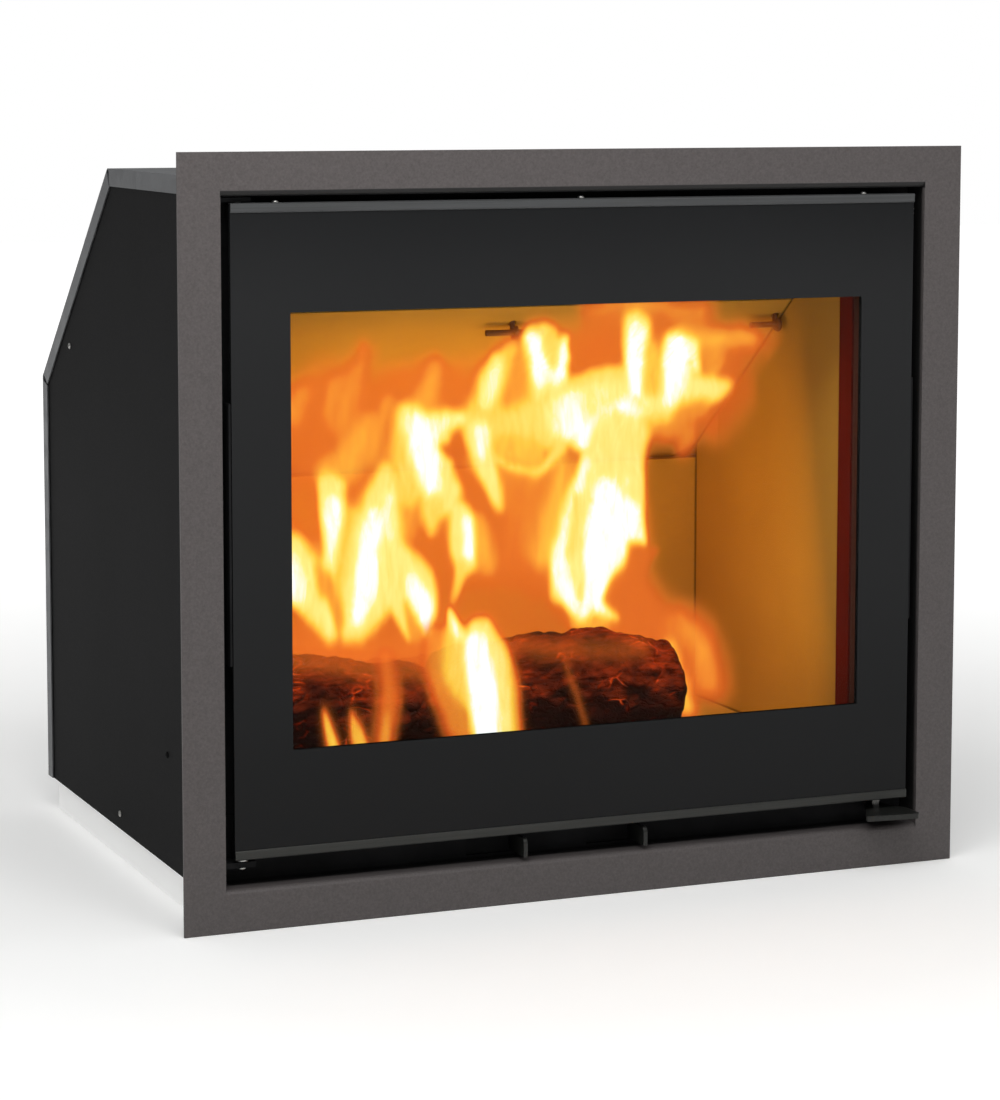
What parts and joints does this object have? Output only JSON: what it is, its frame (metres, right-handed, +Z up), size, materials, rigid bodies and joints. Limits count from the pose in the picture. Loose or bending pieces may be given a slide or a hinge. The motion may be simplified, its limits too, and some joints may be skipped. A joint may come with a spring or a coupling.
{
  "type": "fireplace insert",
  "caption": "Wood-burning fireplace insert: brick-lined steel firebox in a sheet casing, full-glass hinged door with a turning latch, sliding air levers and a flat surround.",
  "frame": {"origin": "centre of the casing's underside, where the insert stands on the hearth; the surround reaches below it", "axes": "+X to the right seen from the front, +Y back into the wall, +Z up"},
  "size_m": [0.6, 0.4609, 0.535],
  "materials": {
    "bronze_paint": "powder coated, fine texture",
    "zinc": "galvanised sheet",
    "black_paint": "satin heat-resistant paint",
    "body_steel": "matt heat-resistant paint",
    "trim_steel": "bevelled and oiled",
    "pin_steel": "turned",
    "cast_iron": "as cast",
    "fire_brick": "vermiculite board",
    "seal_rope": "woven glass rope",
    "ceramic_glass": "clear with a printed black border"
  },
  "bodies": {
    "body": {"surround_frame": "bronze_paint", "casing_wrap": "zinc", "casing_base": "zinc", "frame_bracket_left": "zinc", "frame_bracket_right": "zinc", "air_inlet_collar": "zinc", "rear_air_duct": "zinc", "airwash_duct_left": "zinc", "airwash_duct_right": "zinc", "air_box": "zinc", "damper_guide": "zinc", "casing_side_left": "black_paint", "casing_side_right": "black_paint", "front_plate": "body_steel", "firebox_side_left": "body_steel", "firebox_side_right": "body_steel", "firebox_floor": "body_steel", "firebox_back": "body_steel", "firebox_slope": "body_steel", "firebox_top": "body_steel", "baffle_upper": "body_steel", "baffle_rail_left": "body_steel", "baffle_rail_right": "body_steel", "ash_pan": "body_steel", "log_guard": "body_steel", "airwash_plate": "body_steel", "hinge_bracket_bottom": "body_steel", "hinge_bracket_top": "body_steel", "hinge_pin_bottom": "pin_steel", "baffle_hanger_left": "pin_steel", "baffle_hanger_centre": "pin_steel", "baffle_hanger_right": "pin_steel", "grate": "cast_iron", "flue_collar": "cast_iron", "side_brick_left": "fire_brick", "side_brick_right": "fire_brick", "back_brick": "fire_brick", "floor_brick_left": "fire_brick", "floor_brick_right": "fire_brick", "baffle_lower": "fire_brick"},
    "door": {"door_frame": "body_steel", "door_glass": "ceramic_glass", "door_trim_top": "trim_steel", "door_trim_bottom": "trim_steel", "glass_gasket": "seal_rope", "door_gasket": "seal_rope", "glass_clip_left": "body_steel", "glass_clip_right": "body_steel", "hinge_block_bottom": "body_steel", "hinge_block_top": "body_steel", "hinge_pin_top": "pin_steel", "latch_bearing": "body_steel"},
    "handle": {"door_handle": "body_steel", "latch_shaft": "pin_steel", "latch_hook_bottom": "body_steel", "latch_hook_top": "body_steel"},
    "primary_damper": {"primary_air_slide": "body_steel", "primary_air_lever": "body_steel"},
    "secondary_damper": {"secondary_air_slide": "body_steel", "secondary_air_lever": "body_steel"}
  },
  "joints": [
    {"name": "door_hinge", "type": "hinge", "parent": "body", "child": "door", "pos_m": [-0.2545, -0.20165, 0], "axis": [0, 0, -1], "range_deg": [0, 100]},
    {"name": "latch_turn", "type": "hinge", "parent": "door", "child": "handle", "pos_m": [0.2455, -0.19715, 0], "axis": [0, 0, -1], "range_deg": [0, 26]},
    {"name": "primary_air", "type": "slide", "parent": "body", "child": "primary_damper", "axis": [1, 0, 0], "range_m": [-0.032, 0]},
    {"name": "secondary_air", "type": "slide", "parent": "body", "child": "secondary_damper", "axis": [1, 0, 0], "range_m": [-0.032, 0]}
  ]
}
